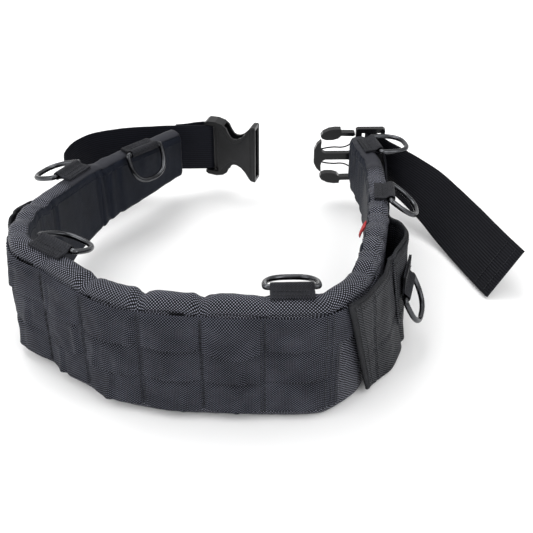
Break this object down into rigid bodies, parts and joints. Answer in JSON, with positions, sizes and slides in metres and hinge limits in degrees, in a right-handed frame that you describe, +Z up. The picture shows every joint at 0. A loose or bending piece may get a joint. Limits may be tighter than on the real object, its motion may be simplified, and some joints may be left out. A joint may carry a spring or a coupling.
{
  "type": "tool belt",
  "caption": "Padded work belt, open U in plan, with stitched tool loops, side sleeves, hinged D-rings in sewn tabs and a side-release buckle on adjustable webbing.",
  "frame": {"origin": "centre of the belt's bounding box in plan, at the height the pad stands on", "axes": "+X to the wearer's side that carries the strap tail, +Y from the stitched front of the pad towards the buckle, +Z up"},
  "size_m": [0.5078, 0.401, 0.1352],
  "materials": {
    "ballistic_nylon": "coarse basket weave",
    "liner_nylon": "fine twill",
    "loop_webbing": "plain woven webbing",
    "belt_webbing": "ribbed woven webbing",
    "foam": "soft closed-cell foam",
    "ring_metal": "polished dark nickel",
    "buckle_plastic": "satin moulded",
    "red_label": "plain woven tab"
  },
  "bodies": {
    "pad": {"belt_webbing_left": "belt_webbing", "belt_webbing_right": "belt_webbing", "foam_panel_01": "foam", "foam_panel_02": "foam", "foam_panel_03": "foam", "foam_panel_04": "foam", "foam_panel_05": "foam", "foam_panel_06": "foam", "foam_panel_07": "foam", "foam_panel_08": "foam", "foam_panel_09": "foam", "foam_panel_10": "foam", "foam_panel_11": "foam", "foam_panel_12": "foam", "inner_liner": "liner_nylon", "label_tab": "red_label", "outer_cover": "ballistic_nylon", "ring_tab_1": "loop_webbing", "ring_tab_2": "loop_webbing", "ring_tab_3": "loop_webbing", "ring_tab_4": "loop_webbing", "ring_tab_5": "loop_webbing", "ring_tab_6": "loop_webbing", "ring_tab_7": "loop_webbing", "side_sleeve_left": "ballistic_nylon", "side_sleeve_right": "ballistic_nylon", "tool_loop_row_lower": "loop_webbing", "tool_loop_row_middle": "loop_webbing", "tool_loop_row_upper": "loop_webbing"},
    "d_ring_1": {"d_ring_1": "ring_metal"},
    "d_ring_2": {"d_ring_2": "ring_metal"},
    "d_ring_3": {"d_ring_3": "ring_metal"},
    "d_ring_4": {"d_ring_4": "ring_metal"},
    "d_ring_5": {"d_ring_5": "ring_metal"},
    "d_ring_6": {"d_ring_6": "ring_metal"},
    "d_ring_7": {"d_ring_7": "ring_metal"},
    "buckle_female": {"buckle_female": "buckle_plastic"},
    "buckle_male": {"buckle_male": "buckle_plastic"},
    "buckle_arm_upper": {"buckle_arm_upper": "buckle_plastic"},
    "buckle_arm_lower": {"buckle_arm_lower": "buckle_plastic"},
    "strap_tail": {"strap_tail": "belt_webbing", "tail_hem": "belt_webbing"}
  },
  "joints": [
    {"name": "ring_1_hinge", "type": "hinge", "parent": "pad", "child": "d_ring_1", "pos_m": [-0.21325, 0.06109, 0.10529], "axis": [0.4327, 0.8946, -0.1118], "range_deg": [-13, 120]},
    {"name": "ring_2_hinge", "type": "hinge", "parent": "pad", "child": "d_ring_2", "pos_m": [-0.13951, 0.11771, 0.09748], "axis": [-0.6798, -0.7305, 0.0645], "range_deg": [-22, 120]},
    {"name": "ring_3_hinge", "type": "hinge", "parent": "pad", "child": "d_ring_3", "pos_m": [-0.19383, -0.1097, 0.131], "axis": [0.802, -0.5974, 0], "range_deg": [-64, 120]},
    {"name": "ring_4_hinge", "type": "hinge", "parent": "pad", "child": "d_ring_4", "pos_m": [0.01506, -0.17418, 0.131], "axis": [0.9996, 0.0286, 0], "range_deg": [-48, 120]},
    {"name": "ring_5_hinge", "type": "hinge", "parent": "pad", "child": "d_ring_5", "pos_m": [0.113, 0.12941, 0.09696], "axis": [0.1837, -0.9742, 0.131], "range_deg": [-2, 120]},
    {"name": "ring_6_hinge", "type": "hinge", "parent": "pad", "child": "d_ring_6", "pos_m": [0.1174, 0.01143, 0.1093], "axis": [-0.0793, -0.9858, 0.1483], "range_deg": [-44, 120]},
    {"name": "ring_7_hinge", "type": "hinge", "parent": "pad", "child": "d_ring_7", "pos_m": [0.12866, -0.08351, 0.062], "axis": [-0.2415, -0.9704, 0], "range_deg": [-23, 120]},
    {"name": "female_buckle_hinge", "type": "hinge", "parent": "pad", "child": "buckle_female", "pos_m": [-0.0725, 0.193, 0.06], "axis": [0, 0, 1], "range_deg": [-13, 45]},
    {"name": "male_buckle_hinge", "type": "hinge", "parent": "pad", "child": "buckle_male", "pos_m": [0.1105, 0.17, 0.06], "axis": [0, 0, 1], "range_deg": [-6, 20]},
    {"name": "strap_tail_swing", "type": "hinge", "parent": "pad", "child": "strap_tail", "pos_m": [0.1105, 0.17, 0.06], "axis": [0, 0, 1], "range_deg": [-14, 3]},
    {"name": "arm_upper_flex", "type": "hinge", "parent": "buckle_male", "child": "buckle_arm_upper", "pos_m": [0.0911, 0.16966, 0.0885], "axis": [0.0175, -0.9998, 0], "range_deg": [0, 8], "stiffness_Nm_per_rad": 2},
    {"name": "arm_lower_flex", "type": "hinge", "parent": "buckle_male", "child": "buckle_arm_lower", "pos_m": [0.0911, 0.16966, 0.0315], "axis": [-0.0175, 0.9998, 0], "range_deg": [0, 8], "stiffness_Nm_per_rad": 2}
  ]
}
